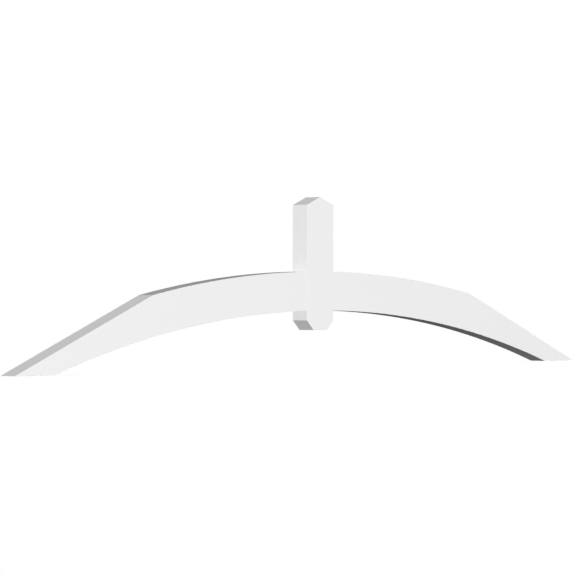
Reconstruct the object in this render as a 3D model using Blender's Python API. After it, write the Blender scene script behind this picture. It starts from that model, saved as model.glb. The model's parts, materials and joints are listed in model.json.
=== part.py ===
"""Gable bracket: a king post between two arched arms, sawn to the slope of the roof above them.

Metres, +Z up. X runs along the span and +Y points to the wall. The origin lies midway between
the two feet, half way through the depth, on the surface that the feet stand on.
"""
import math

import bmesh
import bpy
from mathutils import Matrix, Vector

# Overall sizes
SPAN = 2.1336  # from the tip of one foot to the tip of the other, 84 in
HEIGHT = 0.4445  # from the feet to the peak, 17.5 in, which gives a roof slope of 5 in 12
DEPTH = 0.0508  # from the front face to the back face, 2 in

# Arch
ARCH_FACE = 0.1016  # width of the curved band, measured along its radius, 4 in
SHOULDER_REACH = 0.6096  # from the centre line to where the band's top meets the roof line, 24 in
FOOT_LENGTH = 0.127  # flat underside of each foot, from its heel to its tip, 5 in
ARC_STEPS = 56  # straight facets along each arm

# King post
POST_WIDTH = 0.1016  # 4 in
POST_DROP = 0.0508  # how far the post hangs below the arch, 2 in
POST_CHAMFER = 0.0254  # bottom corners, sawn off at 45 degrees, 1 in

# Joints and edges
JOINT_GAP = 0.0003  # glue line between the post and each arm
EASED_EDGE = 0.0008  # width of the rounding sanded on every sharp edge
EASED_STEPS = 2  # facets across that rounding
SHARP_ANGLE = math.radians(30)  # corners flatter than this stay as they were sawn

# Working allowances of the mesh
BLANK_OVERRUN = math.radians(1)  # how far an arm's blank runs on below the feet before the saw
SAW_SNAP = 1e-7  # points this near to a saw plane count as on it
FLAT_ANGLE = math.radians(0.02)  # faces that turn less than this lie in one plane

# Finish
WHITE = (0.86, 0.86, 0.86, 1.0)
ROUGHNESS = 0.45


def roof_line(x):
    """Height of the roof line at a distance x to either side of the centre."""
    return HEIGHT * (1 - abs(x) / (SPAN / 2))


def roof_normal(side):
    """Unit vector out of the roof line on the left (-1) or the right (+1)."""
    return Vector((side * HEIGHT, 0, SPAN / 2)).normalized()


def arch_circle():
    """Height of the arch's centre, with its inner and outer radius.

    The outer arc passes through the shoulder and the inner one through the heel of the foot.
    Both share one centre on the post's centre line, which leaves a quadratic for the radius.
    """
    shoulder = Vector((SHOULDER_REACH, roof_line(SHOULDER_REACH)))
    heel = SPAN / 2 - FOOT_LENGTH
    # Centre height as start + slope * outer radius, from the difference of the two circles
    start = (shoulder.length_squared - heel**2 + ARCH_FACE**2) / (2 * shoulder.y)
    slope = -ARCH_FACE / shoulder.y
    a = slope**2 - 1
    b = 2 * slope * (start - shoulder.y)
    c = shoulder.x**2 + (start - shoulder.y) ** 2
    outer = (-b - math.sqrt(b**2 - 4 * a * c)) / (2 * a)
    return start + slope * outer, outer - ARCH_FACE, outer


def saw_off(bm, point, outward):
    """Saw the solid along a plane, drop what lies outward of it and close the cut."""
    cut = bmesh.ops.bisect_plane(
        bm,
        geom=bm.verts[:] + bm.edges[:] + bm.faces[:],
        dist=SAW_SNAP,
        plane_co=point,
        plane_no=outward,
        clear_outer=True,
    )
    rim = [item for item in cut["geom_cut"] if isinstance(item, bmesh.types.BMEdge)]
    bmesh.ops.edgeloop_fill(bm, edges=rim)


def white_pvc():
    """Satin white cellular PVC, the same on every piece."""
    material = bpy.data.materials.new("white_pvc")
    material.use_nodes = True
    shader = material.node_tree.nodes["Principled BSDF"]
    shader.inputs["Base Color"].default_value = WHITE
    shader.inputs["Roughness"].default_value = ROUGHNESS
    shader.inputs["Metallic"].default_value = 0.0
    material.diffuse_color = WHITE
    return material


def finish_piece(name, bm, material, parent):
    """Turn a bmesh into a named object with whole flat faces and eased edges."""
    bmesh.ops.recalc_face_normals(bm, faces=bm.faces)
    seams = [edge for edge in bm.edges if edge.calc_face_angle() < FLAT_ANGLE]
    bmesh.ops.dissolve_edges(bm, edges=seams, use_verts=True)
    mesh = bpy.data.meshes.new(name)
    bm.to_mesh(mesh)
    bm.free()
    mesh.shade_smooth()
    mesh.set_sharp_from_angle(angle=SHARP_ANGLE)
    mesh.materials.append(material)
    piece = bpy.data.objects.new(name, mesh)
    bpy.context.scene.collection.objects.link(piece)
    piece.parent = parent
    easing = piece.modifiers.new("eased edges", "BEVEL")
    easing.width = EASED_EDGE
    easing.segments = EASED_STEPS
    easing.limit_method = "ANGLE"
    easing.angle_limit = SHARP_ANGLE
    return piece


def king_post(material, parent):
    """A square bar that runs through the arch, pointed above and chamfered below."""
    centre_height, inner, _ = arch_circle()
    bottom = centre_height + inner - POST_DROP
    bm = bmesh.new()
    size = Matrix.Diagonal((POST_WIDTH, DEPTH, HEIGHT - bottom, 1))
    middle = Matrix.Translation((0, 0, (HEIGHT + bottom) / 2))
    bmesh.ops.create_cube(bm, size=1, matrix=middle @ size)
    for side in (-1, 1):
        saw_off(bm, Vector((0, 0, HEIGHT)), roof_normal(side))
        corner = Vector((side * POST_WIDTH / 2, 0, bottom + POST_CHAMFER))
        saw_off(bm, corner, Vector((side, 0, -1)).normalized())
    return finish_piece("king_post", bm, material, parent)


def arch_arm(name, side, material, parent):
    """Half of the arched band, on the left (-1) or the right (+1) of the post.

    The band's section is spun about the arch's centre until it dips below the feet, then the
    blank is sawn off at the post, along the roof line and under the foot.
    """
    centre_height, inner, outer = arch_circle()
    bm = bmesh.new()
    corners = [(-DEPTH / 2, inner), (DEPTH / 2, inner), (DEPTH / 2, outer), (-DEPTH / 2, outer)]
    section = bm.faces.new([bm.verts.new((0, y, centre_height + z)) for y, z in corners])
    sweep = math.acos(-centre_height / outer) + BLANK_OVERRUN
    bmesh.ops.spin(
        bm,
        geom=[section],
        cent=(0, 0, centre_height),
        axis=(0, 1, 0),
        angle=side * sweep,
        steps=ARC_STEPS,
    )
    saw_off(bm, Vector((side * (POST_WIDTH / 2 + JOINT_GAP), 0, 0)), Vector((-side, 0, 0)))
    saw_off(bm, Vector((0, 0, HEIGHT)), roof_normal(side))
    saw_off(bm, Vector((0, 0, 0)), Vector((0, 0, -1)))
    return finish_piece(name, bm, material, parent)


def main():
    for old in list(bpy.data.objects):
        bpy.data.objects.remove(old, do_unlink=True)
    bracket = bpy.data.objects.new("gable_bracket", None)
    bpy.context.scene.collection.objects.link(bracket)
    material = white_pvc()
    king_post(material, bracket)
    arch_arm("arch_arm_left", -1, material, bracket)
    arch_arm("arch_arm_right", 1, material, bracket)


main()
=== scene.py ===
# %% [markdown]
# A gable bracket, dressed for the camera.
#
# The bracket hangs under the point of a gable roof: an upright king post between two arched arms,
# all of white cellular PVC. Its solids come packed in one frame, in metres, with +Z up, X along the
# span and the front face towards -Y. This lesson loads them, builds each piece again with finer
# curves and eased edges, gives every surface the finish that it has in the workshop, and sets the
# camera, the lights and a pale floor.

import json
import math

import bmesh
import bpy
from mathutils import Matrix, Vector


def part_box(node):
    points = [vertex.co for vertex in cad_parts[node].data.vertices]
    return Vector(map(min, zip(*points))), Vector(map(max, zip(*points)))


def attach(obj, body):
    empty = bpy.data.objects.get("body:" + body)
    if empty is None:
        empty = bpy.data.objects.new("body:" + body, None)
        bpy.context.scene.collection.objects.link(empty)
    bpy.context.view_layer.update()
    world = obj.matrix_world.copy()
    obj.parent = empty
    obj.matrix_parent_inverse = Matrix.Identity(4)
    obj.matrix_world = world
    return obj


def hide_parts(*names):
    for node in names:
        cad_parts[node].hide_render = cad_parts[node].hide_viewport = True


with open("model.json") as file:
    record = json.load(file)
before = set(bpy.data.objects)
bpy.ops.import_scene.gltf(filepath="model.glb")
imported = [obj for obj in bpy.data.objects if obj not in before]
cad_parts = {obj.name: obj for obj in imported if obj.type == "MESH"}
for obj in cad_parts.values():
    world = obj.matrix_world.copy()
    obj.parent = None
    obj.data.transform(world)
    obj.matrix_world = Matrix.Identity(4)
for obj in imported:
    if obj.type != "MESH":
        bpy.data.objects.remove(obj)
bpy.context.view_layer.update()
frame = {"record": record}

# %% [markdown]
# Sizes.
#
# Everything that the frame already states is read from it. The faces that meet the roof and the
# ground are mounts in the record, each with its middle and its outward normal, and from the middles
# follow the two ends of each face. Two sizes are given here: the width of the arched
# band and the chamfers under the post, because no mount gives them.

# %% Read the sizes
ARCH_FACE = 0.1016  # width of the curved band, along its radius
POST_CHAMFER = 0.0254  # bottom corners of the post, cut at 45 degrees
MOUNTS = {mount["name"]: mount for mount in frame["record"]["mounts"]}

post_low, post_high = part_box("king_post")
DEPTH = post_high.y - post_low.y
POST_WIDTH = post_high.x - post_low.x
POST_BOTTOM = post_low.z

rake_middle = Vector(MOUNTS["rake_right"]["pos_m"])
rake_normal = Vector(MOUNTS["rake_right"]["axis"])
ROOF_SLOPE = rake_normal.x / rake_normal.z
TIP_REACH = rake_middle.x + rake_middle.z / ROOF_SLOPE
PEAK_HEIGHT = TIP_REACH * ROOF_SLOPE
SHOULDER_REACH = 2 * rake_middle.x - TIP_REACH
HEEL_REACH = 2 * MOUNTS["foot_right"]["pos_m"][0] - TIP_REACH
print(f"roof slope {12 * ROOF_SLOPE:.2f} in 12, tip {TIP_REACH:.4f}, peak {PEAK_HEIGHT:.4f}")
print(f"shoulder {SHOULDER_REACH:.4f}, heel {HEEL_REACH:.4f}, post {POST_WIDTH:.4f} x {DEPTH:.4f}")

# %% [markdown]
# The circle behind the arch.
#
# The band's outer arc starts at the shoulder, where it meets the roof line, and its inner arc ends
# at the heel of the foot. Both arcs turn about one point below the post. Taking one circle's
# equation from the other leaves a straight relation between the centre's height and the radius, and
# putting that back gives a quadratic. It is better to solve it than to trace an arc by eye,
# because every later pattern on the curved edges is measured from the same centre.

# %% Find the arch's centre and radii
def arch_circle():
    """Height of the centre, inner radius and outer radius of the arched band."""
    shoulder = Vector((SHOULDER_REACH, PEAK_HEIGHT - SHOULDER_REACH * ROOF_SLOPE))
    # The centre's height is start + slope * outer, from the difference of the two circles
    start = (shoulder.length_squared - HEEL_REACH**2 + ARCH_FACE**2) / (2 * shoulder.y)
    slope = -ARCH_FACE / shoulder.y
    a = slope**2 - 1
    b = 2 * slope * (start - shoulder.y)
    c = shoulder.x**2 + (start - shoulder.y) ** 2
    outer = (-b - math.sqrt(b**2 - 4 * a * c)) / (2 * a)
    return start + slope * outer, outer - ARCH_FACE, outer


ARCH_CENTRE, INNER_RADIUS, OUTER_RADIUS = arch_circle()
print(f"arch centre {ARCH_CENTRE:.4f}, radii {INNER_RADIUS:.4f} and {OUTER_RADIUS:.4f}")

# %% [markdown]
# Shader maths.
#
# A finish is a small calculation that runs at every point of a surface. Wiring it by hand hides the
# idea in a tangle of nodes, so one class wraps a socket and lets Python's own signs add the Math
# nodes. Writing 1 - pits then reads as it is meant. Every other node comes from one method, which
# takes the node's type, its settings and the values or links of its sockets.

# %% Wrap a socket
class Wire:
    """One output of a shader node, on which Python's arithmetic adds Math nodes.

    The first wire of a material or a world has no output yet and only holds its tree.
    """

    def __init__(self, tree, socket=None):
        self.tree = tree
        self.socket = socket

    def node(self, kind, settings=None, values=None, out=0):
        """Add a node: its settings first, then its sockets, and return one of its outputs."""
        made = self.tree.nodes.new(kind)
        for name, setting in (settings or {}).items():
            setattr(made, name, setting)
        for name, value in (values or {}).items():
            if isinstance(value, Wire):
                self.tree.links.new(value.socket, made.inputs[name])
            else:
                made.inputs[name].default_value = value
        return Wire(self.tree, made.outputs[out])

    def math(self, operation, *values):
        return self.node("ShaderNodeMath", {"operation": operation}, dict(enumerate(values)))

    def __add__(self, other):
        return self.math("ADD", self, other)

    def __sub__(self, other):
        return self.math("SUBTRACT", self, other)

    def __rsub__(self, other):
        return self.math("SUBTRACT", other, self)

    def __mul__(self, other):
        return self.math("MULTIPLY", self, other)

    __radd__ = __add__
    __rmul__ = __mul__


# %% [markdown]
# What the finishes share.
#
# Cellular PVC is a white foam with a closed skin. It is satin, never glossy, and the same white all
# through, so the finishes differ in their relief and sheen and hardly in colour. Each one starts
# from the same Principled shader. Positions are read in metres from the piece itself, so a pattern
# keeps its real size and stays put when the camera moves.

# %% Start a finish
WHITE = (0.86, 0.86, 0.86, 1.0)
# The darker of the two whites is the low end of the random tone, and also the painted shade in the
# pores
GREY_WHITE_AND_PORE_SHADE = (0.80, 0.80, 0.80, 1.0)
MILLIMETRE = 0.001


def new_finish(name):
    """A material with nodes, and a wire to build its patterns with."""
    material = bpy.data.materials.new(name)
    material.use_nodes = True
    material.diffuse_color = WHITE
    return material, Wire(material.node_tree)


def place_of(wire):
    """Position on the piece in metres, whole and as x, y and z."""
    place = wire.node("ShaderNodeTexCoord", out="Object")
    parts = wire.node("ShaderNodeSeparateXYZ", values={"Vector": place})
    outputs = parts.socket.node.outputs
    return place, *(Wire(wire.tree, outputs[axis]) for axis in "XYZ")


def noise(wire, place, size, detail=2.0):
    """Soft random values from 0 to 1, in blotches of about this size in metres."""
    values = {"Vector": place, "Scale": 1 / size, "Detail": detail}
    return wire.node("ShaderNodeTexNoise", values=values)


# %% [markdown]
# How every finish ends.
#
# The tone picks a white between two that are close together. The relief is a stack of Bump nodes,
# the coarse ones first, and each passes its bent normal on to the next, so that a pore still shows
# in the slope of a ripple. Heights are wired as shares of a depth in metres. A depth can then be set
# to what a gauge would read on the real surface.

# %% Close a finish
def mix_colours(wire, amount, first, second):
    """The first colour where the amount is 0 and the second where it is 1."""
    # The Mix node has sockets for every type, and its colours are inputs 6 and 7 and output 2
    return wire.node("ShaderNodeMix", {"data_type": "RGBA"}, {0: amount, 6: first, 7: second}, out=2)


def close_finish(material, wire, tone, roughness, layers):
    """Wire the tone, the roughness and the relief layers into the shader.

    A layer is a height from 0 to 1 with its depth in metres, and each rides on the one before.
    """
    relief = None
    for height, depth in layers:
        values = {"Height": height, "Distance": depth, "Strength": 1.0}
        if relief is not None:
            values["Normal"] = relief
        relief = wire.node("ShaderNodeBump", values=values)
    shader = material.node_tree.nodes["Principled BSDF"]
    for socket, wanted in (
        ("Base Color", mix_colours(wire, tone, GREY_WHITE_AND_PORE_SHADE, WHITE)),
        ("Roughness", roughness),
        ("Normal", relief),
    ):
        wire.tree.links.new(wanted.socket, shader.inputs[socket])
    print("finish", material.name, "with", len(wire.tree.nodes), "nodes")
    return material


# %% [markdown]
# The flat faces.
#
# A sheet leaves the extruder between polishing rollers, which press a faint pebble into its skin
# and leave hair-thin draw lines along its length. Both are far too shallow to model in the mesh:
# they only soften the sheen. So the pebble is a fine noise, the lines are a noise drawn out
# fiftyfold, and a third, hand-sized noise clouds the white and its sheen, as on any real board.
# The pebble takes the largest share of both, so that the face stays even from afar.

# %% Make the sheet skin
PEBBLE = 1.1 * MILLIMETRE
LINE_WIDTH = 6 * MILLIMETRE
LINE_SQUEEZE = 1 / 50  # a draw line is fifty times as long as it is wide
CLOUD = 140 * MILLIMETRE
LINE_DEPTH = 0.03 * MILLIMETRE
PEBBLE_DEPTH = 0.05 * MILLIMETRE
SKIN_TONE = 0.62  # at 0 a finish is the darker white and at 1 the full white
SKIN_ROUGHNESS = 0.33
CLOUD_SHARE = 0.1  # most that the clouds add to the tone and to the roughness
LINE_TONE = 0.1  # most that the lines take off the tone
PEBBLE_TONE = 0.5
PEBBLE_ROUGHNESS = 0.16


def sheet_skin(name, squeeze):
    """Front and back faces, with draw lines along the axis that is squeezed."""
    material, wire = new_finish(name)
    place, *_ = place_of(wire)
    drawn = wire.node("ShaderNodeMapping", values={"Vector": place, "Scale": squeeze})
    pebble = noise(wire, place, PEBBLE)
    lines = noise(wire, drawn, LINE_WIDTH, detail=3.0)
    clouds = noise(wire, place, CLOUD)
    tone = SKIN_TONE + CLOUD_SHARE * clouds + PEBBLE_TONE * pebble - LINE_TONE * lines
    roughness = SKIN_ROUGHNESS + CLOUD_SHARE * clouds + PEBBLE_ROUGHNESS * pebble
    layers = [(lines, LINE_DEPTH), (pebble, PEBBLE_DEPTH)]
    return close_finish(material, wire, tone, roughness, layers)


ARM_FACE = sheet_skin("pvc_face_of_arm", squeeze=(LINE_SQUEEZE, 1.0, 1.0))
POST_FACE = sheet_skin("pvc_face_of_post", squeeze=(1.0, 1.0, LINE_SQUEEZE))

# %% [markdown]
# Pores.
#
# Cutting opens the foam, and the cut shows its bubbles like pin pricks. A Voronoi node measures the
# distance to the nearest of its scattered points, so a pore is where that distance is small. Real
# foam is never even: a slow noise takes a little off the distance, and the pores crowd where it
# takes most. A painted dot pattern would repeat, and this one doesn't.

# %% Open the pores
PORE_SPACING = 0.8 * MILLIMETRE
PORE_PATCHES = 9 * MILLIMETRE
PORE_EDGE = 0.14  # distance at which a pore ends, as a share of the spacing
PORE_CROWDING = 0.3  # most that the patches take off the distance, as a share of the spacing


def pores(wire, place):
    """1 in the pin pricks of the opened foam and 0 between them."""
    spots = {"Vector": place, "Scale": 1 / PORE_SPACING, "Randomness": 1.0}
    distance = wire.node("ShaderNodeTexVoronoi", {"feature": "F1"}, spots)
    crowding = noise(wire, place, PORE_PATCHES, detail=3.0)
    edge = {
        "Value": distance - PORE_CROWDING * crowding,
        "From Min": 0.0,
        "From Max": PORE_EDGE,
        "To Min": 1.0,
        "To Max": 0.0,
    }
    return wire.node("ShaderNodeMapRange", {"interpolation_type": "SMOOTHSTEP"}, edge)


# %% [markdown]
# The cut edges.
#
# A turning cutter leaves ripples across an edge, one for each turn, and a saw leaves coarser, less
# even ones. A ripple is a sine of the distance along the cut, brought between 0 and 1. A slow noise
# pushes it in and out of step, because no hand feeds a board evenly. One function makes every cut
# edge, and the tool decides what it is given.

# %% Make the cut edges
GRAIN = 0.7 * MILLIMETRE
GRAIN_DEPTH = 0.02 * MILLIMETRE
GRAIN_ROUGHNESS = 0.08
PORE_DEPTH = 0.03 * MILLIMETRE
PAINTED_PORE_SHADE = 0.9  # painted shade: most that the shade in a pore takes off the full white
PORE_ROUGHNESS = 0.1
WANDER = 12  # ripples over which their spacing drifts


def cut_edge(name, along, pitch, depth, unevenness, base_roughness):
    """A cut through the foam, with pores, and with tool ripples one pitch apart.

    The unevenness is how far the drift pushes a ripple out of step, in radians.
    """
    material, wire = new_finish(name)
    place, x, _, z = place_of(wire)
    drift = noise(wire, place, WANDER * pitch)
    turns = along(wire, x, z) * (2 * math.pi / pitch)
    ripple = 0.5 + 0.5 * wire.math("SINE", turns + unevenness * drift)
    pits = pores(wire, place)
    grain = noise(wire, place, GRAIN)
    # Painted shade: each pore is darkened in colour for the shade that falls in its hollow
    tone = 1.0 - PAINTED_PORE_SHADE * pits
    roughness = base_roughness + GRAIN_ROUGHNESS * grain + PORE_ROUGHNESS * pits
    layers = [(ripple, depth), (grain, GRAIN_DEPTH), (1 - pits, PORE_DEPTH)]
    return close_finish(material, wire, tone, roughness, layers)


# %% [markdown]
# The tools.
#
# The router follows the arch, the planer runs along the post, and the mitre saw makes the straight
# cuts. On the arch the distance along the cut is the radius times the angle about the arch's centre.
# The ripples then stay square to the curve all the way round, which no straight pattern would do.
# The router leaves the smoothest cut and the saw the roughest.

# %% Cut with each tool
def along_arc(wire, x, z):
    """Distance round the arch, from the middle of the post."""
    return wire.math("ARCTAN2", x, z - ARCH_CENTRE) * INNER_RADIUS


def along_post(wire, x, z):
    return z


def along_span(wire, x, z):
    return x


ROUTED_ARC = cut_edge(
    "pvc_routed_arc",
    along_arc,
    pitch=1.4 * MILLIMETRE,
    depth=0.006 * MILLIMETRE,
    unevenness=2.0,
    base_roughness=0.24,
)
PLANED_SIDE = cut_edge(
    "pvc_planed_side",
    along_post,
    pitch=1.8 * MILLIMETRE,
    depth=0.005 * MILLIMETRE,
    unevenness=2.0,
    base_roughness=0.32,
)
SAWN_CUT = cut_edge(
    "pvc_sawn_cut",
    along_span,
    pitch=3.1 * MILLIMETRE,
    depth=0.016 * MILLIMETRE,
    unevenness=9.0,
    base_roughness=0.47,
)

# %% [markdown]
# Sawing.
#
# Every piece starts as a simple blank and is cut to length by flat planes, as in the workshop. A
# box or a sweep could be worked out corner by corner instead, but a plane says what the saw does.
# bisect_plane makes the cut and drops the waste, and edgeloop_fill closes the opened end.

# %% Saw a blank
SAW_SNAP = 1e-7  # points this near to a saw plane count as on it


def saw_off(bm, point, outward):
    """Saw the solid along a plane, drop what lies outward of it and close the cut."""
    cut = bmesh.ops.bisect_plane(
        bm,
        geom=bm.verts[:] + bm.edges[:] + bm.faces[:],
        dist=SAW_SNAP,
        plane_co=point,
        plane_no=outward,
        clear_outer=True,
    )
    rim = [item for item in cut["geom_cut"] if isinstance(item, bmesh.types.BMEdge)]
    bmesh.ops.edgeloop_fill(bm, edges=rim)


def roof_normal(side):
    """Unit vector out of the roof line on the left (-1) or the right (+1)."""
    return Vector((side * ROOF_SLOPE, 0, 1)).normalized()


# %% [markdown]
# Easing.
#
# A plane that crosses many facets leaves seams between faces that lie flat together, so these are
# dissolved, and each flat side is one face. The sharp edges are then eased by a live Bevel that
# reads a weight from every edge: a full one where the edge is sanded by hand, less beside the glue
# line, which shows only as a hairline. It hardens the normals, which keeps the flat faces flat in
# the light and lets only the rounding turn.

# %% Ease the edges and finish a piece
EASED_EDGE = 0.3 * MILLIMETRE
JOINT_EASE = 0.2 * MILLIMETRE
GLUE_LINE = 0.1 * MILLIMETRE
EASING_STEPS = 3
CORNER_ANGLE = math.radians(30)  # corners flatter than this stay as they were sawn
SMOOTH_ANGLE = math.radians(5)  # facets of the arch turn far less than this, corners more
FLAT_ANGLE = math.radians(0.02)  # faces that turn less than this lie in one plane
TOUCH = 1e-5  # an edge this near to the joint's plane lies in it


def at_joint(edge):
    """True if an edge lies where an arm meets the post."""
    return all(abs(abs(vert.co.x) - POST_WIDTH / 2 - GLUE_LINE) < TOUCH for vert in edge.verts)


def finish_piece(name, bm, materials, surface_of, joint_weight):
    """Join flat seams, weigh the edges for easing, give each face its finish and make the object."""
    bmesh.ops.recalc_face_normals(bm, faces=bm.faces)
    seams = [edge for edge in bm.edges if edge.calc_face_angle() < FLAT_ANGLE]
    bmesh.ops.dissolve_edges(bm, edges=seams, use_verts=True)
    weight = bm.edges.layers.float.new("bevel_weight_edge")
    for edge in bm.edges:
        if edge.calc_face_angle() > CORNER_ANGLE:
            edge[weight] = joint_weight if at_joint(edge) else 1.0
    for face in bm.faces:
        face.material_index = materials.index(surface_of(face))
    mesh = bpy.data.meshes.new(name)
    bm.to_mesh(mesh)
    bm.free()
    mesh.shade_smooth()
    mesh.set_sharp_from_angle(angle=SMOOTH_ANGLE)
    for material in materials:
        mesh.materials.append(material)
    piece = bpy.data.objects.new(name, mesh)
    bpy.context.scene.collection.objects.link(piece)
    easing = piece.modifiers.new("eased edges", "BEVEL")
    easing.width = EASED_EDGE
    easing.segments = EASING_STEPS
    easing.limit_method = "WEIGHT"
    easing.harden_normals = True
    print(name, "has", len(mesh.polygons), "faces before easing")
    return piece


# %% [markdown]
# The king post.
#
# The post is a plain bar that runs through the arch from the peak to just below it. Its top is cut
# to the roof line on both sides, so that the point sits tight under the ridge, and its bottom
# corners are taken off at 45 degrees. A cube stretched to the bar's size and sawn four times gives
# just that, with the peak exactly where the two roof lines meet.

# %% Shape the king post
STRAIGHT = 0.99  # cosine above which a face looks straight along an axis


def surface_of_post(face):
    """Skin on the flat sides, planed on the long edges, and sawn at both ends."""
    if abs(face.normal.y) > STRAIGHT:
        return POST_FACE
    return PLANED_SIDE if abs(face.normal.x) > STRAIGHT else SAWN_CUT


def king_post():
    """A bar from the peak to just below the arch, sawn twice at the top and twice at the bottom."""
    bm = bmesh.new()
    size = Matrix.Diagonal((POST_WIDTH, DEPTH, PEAK_HEIGHT - POST_BOTTOM, 1))
    middle = Matrix.Translation((0, 0, (PEAK_HEIGHT + POST_BOTTOM) / 2))
    bmesh.ops.create_cube(bm, size=1, matrix=middle @ size)
    for side in (-1, 1):
        saw_off(bm, Vector((0, 0, PEAK_HEIGHT)), roof_normal(side))
        corner = Vector((side * POST_WIDTH / 2, 0, POST_BOTTOM + POST_CHAMFER))
        saw_off(bm, corner, Vector((side, 0, -1)).normalized())
    materials = [POST_FACE, PLANED_SIDE, SAWN_CUT]
    return finish_piece("post_finished", bm, materials, surface_of_post, joint_weight=1.0)


post = king_post()

# %% [markdown]
# The arched arms.
#
# Each arm is half of a band of even width, bent to the circle found above. bmesh's spin sweeps the
# band's rectangular section about the arch's centre, past the foot, in steps so short that no facet
# shows. Three saw cuts then make the flat joint against the post, the long slope under the roof and
# the level foot. The left arm is the same sweep turned the other way.

# %% Shape the arms
ARC_STEPS = 208  # with this many, each saw cut falls well inside a facet and leaves no sliver
BLANK_OVERRUN = math.radians(1)  # how far the blank runs on below the feet before the saw


def surface_of_arm(face):
    """Skin on the flat sides, routed on both arcs, and sawn on the three straight cuts."""
    if abs(face.normal.y) > STRAIGHT:
        return ARM_FACE
    middle = face.calc_center_median()
    radius = math.hypot(middle.x, middle.z - ARCH_CENTRE)
    on_arc = min(abs(radius - INNER_RADIUS), abs(radius - OUTER_RADIUS)) < MILLIMETRE
    return ROUTED_ARC if on_arc else SAWN_CUT


def arch_arm(name, side):
    """The left (-1) or the right (+1) arm."""
    bm = bmesh.new()
    front, back = -DEPTH / 2, DEPTH / 2
    corners = [
        bm.verts.new((0, front, ARCH_CENTRE + INNER_RADIUS)),
        bm.verts.new((0, back, ARCH_CENTRE + INNER_RADIUS)),
        bm.verts.new((0, back, ARCH_CENTRE + OUTER_RADIUS)),
        bm.verts.new((0, front, ARCH_CENTRE + OUTER_RADIUS)),
    ]
    bmesh.ops.spin(
        bm,
        geom=[bm.faces.new(corners)],
        cent=(0, 0, ARCH_CENTRE),
        axis=(0, 1, 0),
        angle=side * (math.acos(-ARCH_CENTRE / OUTER_RADIUS) + BLANK_OVERRUN),
        steps=ARC_STEPS,
    )
    saw_off(bm, Vector((side * (POST_WIDTH / 2 + GLUE_LINE), 0, 0)), Vector((-side, 0, 0)))
    saw_off(bm, Vector((0, 0, PEAK_HEIGHT)), roof_normal(side))
    saw_off(bm, Vector((0, 0, 0)), Vector((0, 0, -1)))
    materials = [ARM_FACE, ROUTED_ARC, SAWN_CUT]
    return finish_piece(name, bm, materials, surface_of_arm, joint_weight=JOINT_EASE / EASED_EDGE)


left_arm = arch_arm("left_arm_finished", -1)
right_arm = arch_arm("right_arm_finished", 1)

# %% [markdown]
# Joining the frame.
#
# The three pieces are glued into one body, so all ride on the root. Each one stands for its own
# solid, which stays in the frame for collision. In the photograph no piece is mirrored in the
# next one, and the arm's thin top stays dark right up to the post, so the pieces are left out of
# each other's reflections.

# %% Ride on the body
for piece, node in (
    (post, "king_post"),
    (left_arm, "arch_arm_left"),
    (right_arm, "arch_arm_right"),
):
    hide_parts(node)
    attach(piece, "root")
    piece.visible_glossy = False
    print(piece.name, "stands for", node)

# %% [markdown]
# The camera.
#
# The photograph was taken low and from the left, level with the middle of the bracket, through a
# long lens that keeps the far arm nearly as tall as the near one. The place, bearing and focal
# length below were fitted to the bracket's own corners. Upright edges stay upright, so the camera
# is almost level.

# %% Set the camera
CAMERA_PLACE = Vector((-6.0249, -5.5462, 0.2205))
CAMERA_BEARING = math.radians(46.883)  # turned right of straight ahead, seen from above
CAMERA_TILT = math.radians(-0.066)
CAMERA_LENS = 196.89  # millimetres
SENSOR_WIDTH = 36.0  # millimetres
CAMERA_REACH = 200.0  # how far it sees, past the far side of the floor

camera_data = bpy.data.cameras.new("camera")
camera_data.lens = CAMERA_LENS
camera_data.sensor_width = SENSOR_WIDTH
camera_data.clip_end = CAMERA_REACH
camera = bpy.data.objects.new("camera", camera_data)
camera.location = CAMERA_PLACE
camera.rotation_euler = (math.pi / 2 + CAMERA_TILT, 0, -CAMERA_BEARING)
bpy.context.scene.collection.objects.link(camera)
bpy.context.scene.camera = camera
print(f"camera {CAMERA_PLACE.length:.2f} m away")

# %% [markdown]
# The light.
#
# The photograph's light is very even. A distant lamp with a wide angle gives that without a hot
# spot: it stands to the left, a little above the camera. A softbox beside it stands near enough to
# fade along the span, so the left foot is a shade lighter than the right one. Neither throws a
# shadow, because the photograph shows none under the arch. The weak lamp on the far left does: it
# brightens the post's side above the arm, and the arm keeps it from the small face below. The last
# lamp lights the back and the right-hand sides, which the photograph doesn't show. No distant lamp
# is mirrored in the satin edges, where it would burn a white band that isn't there.

# %% Set the lights
LAMP_DISTANCE = 20.0  # of the distant lamps, whose light doesn't depend on it


def add_light(name, kind, power, bearing, elevation, distance):
    """A light that faces the bracket, its bearing clockwise from the front as seen from above."""
    across, up = math.radians(bearing), math.radians(elevation)
    out = Vector((-math.sin(across) * math.cos(up), -math.cos(across) * math.cos(up), math.sin(up)))
    lamp = bpy.data.lights.new(name, kind)
    lamp.energy = power
    light = bpy.data.objects.new(name, lamp)
    light.location = out * distance
    light.rotation_euler = (-out).to_track_quat("-Z", "Y").to_euler()
    bpy.context.scene.collection.objects.link(light)
    print(f"{name} at {bearing} degrees, {elevation} up")
    return light


def distant_lamp(name, power, bearing, elevation, width):
    """A far lamp that spans this angle in degrees and isn't mirrored in the pieces."""
    light = add_light(name, "SUN", power, bearing, elevation, LAMP_DISTANCE)
    light.data.angle = math.radians(width)
    light.visible_glossy = False
    return light


key = distant_lamp("key", power=3.37, bearing=37, elevation=11, width=16)
key.data.use_shadow = False
softbox = add_light("side_softbox", "AREA", power=20, bearing=50, elevation=11, distance=5)
softbox.data.size = 2.0
softbox.data.use_shadow = False
distant_lamp("left_lamp", power=0.32, bearing=90, elevation=25, width=20)
distant_lamp("rear_fill", power=2.6, bearing=-135, elevation=0, width=8)

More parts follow.
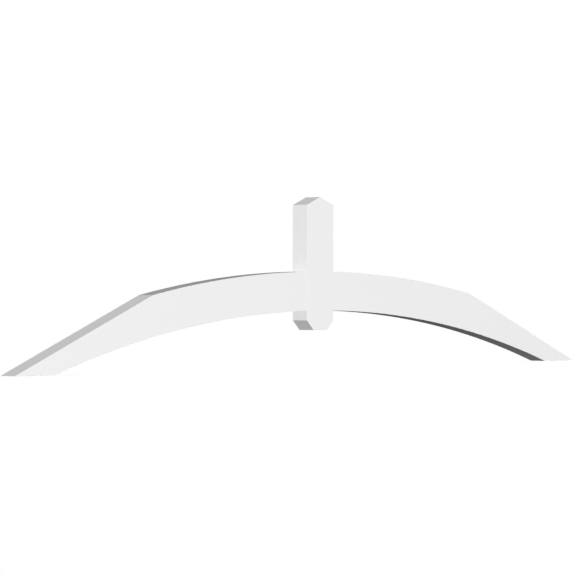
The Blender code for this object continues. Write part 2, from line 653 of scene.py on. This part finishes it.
# %% [markdown]
# The backdrop.
#
# Behind the bracket the photograph is plain white, brighter than the bracket itself. A world as
# bright as that would wash out every shaded face. So its strength depends on what kind of ray asks:
# it is white to the camera, a dim glow to the rays that gather soft light, and black to reflections.
# Where an edge is seen at a glancing angle it mostly mirrors its surroundings, so the black makes it
# dark, as the arch's thin top and underside are in the photograph.

# %% Set the backdrop
GLOW = 0.155
BACKDROP = (1.0, 1.0, 1.0, 1.0)


def show(tree, output, surface):
    """Link a shader to the output node of a material or a world."""
    tree.links.new(surface.socket, tree.nodes[output].inputs["Surface"])


scene = bpy.context.scene
scene.view_settings.view_transform = "Standard"
scene.world = bpy.data.worlds.new("backdrop")
scene.world.use_nodes = True
sky = Wire(scene.world.node_tree)
to_camera = sky.node("ShaderNodeLightPath", out="Is Camera Ray")
to_surface = Wire(sky.tree, to_camera.socket.node.outputs["Is Diffuse Ray"])
strength = to_camera + GLOW * to_surface
backdrop = sky.node("ShaderNodeBackground", values={"Color": BACKDROP, "Strength": strength})
show(sky.tree, "World Output", backdrop)
print("backdrop", BACKDROP, "with a glow of", GLOW)

# %% [markdown]
# The floor.
#
# The floor is as pale as the backdrop and lies at the feet, and the two run together without an
# edge. It glows by itself, so that no lamp paints a gradient on it. It takes only the faint shade
# that gathers under things that stand on it, worked out by an Ambient Occlusion node, and it adds
# nothing to the light on the pieces.

# %% Lay the floor
FLOOR_SHADE = (0.93, 0.93, 0.93, 1.0)  # where nothing of the room reaches the floor
SHADE_REACH = 0.04
SHADE_SAMPLES = 16
FLOOR_SIDE = 60.0
FLOOR_CLEARANCE = 0.2 * MILLIMETRE

floor_material, floor_wire = new_finish("pale_floor")
open_air = floor_wire.node(
    "ShaderNodeAmbientOcclusion", {"samples": SHADE_SAMPLES}, {"Distance": SHADE_REACH}, out="AO"
)
floor_colour = mix_colours(floor_wire, open_air, FLOOR_SHADE, BACKDROP)
floor_light = floor_wire.node("ShaderNodeEmission", values={"Color": floor_colour})
show(floor_wire.tree, "Material Output", floor_light)

bm = bmesh.new()
below = Matrix.Translation((0, 0, -FLOOR_CLEARANCE))
bmesh.ops.create_grid(bm, x_segments=1, y_segments=1, size=FLOOR_SIDE / 2, matrix=below)
floor_mesh = bpy.data.meshes.new("floor")
bm.to_mesh(floor_mesh)
bm.free()
floor_mesh.materials.append(floor_material)
floor = bpy.data.objects.new("floor", floor_mesh)
scene.collection.objects.link(floor)
floor.visible_diffuse = False
floor.visible_glossy = False
floor.visible_shadow = False
print("floor", FLOOR_SIDE, "m wide")
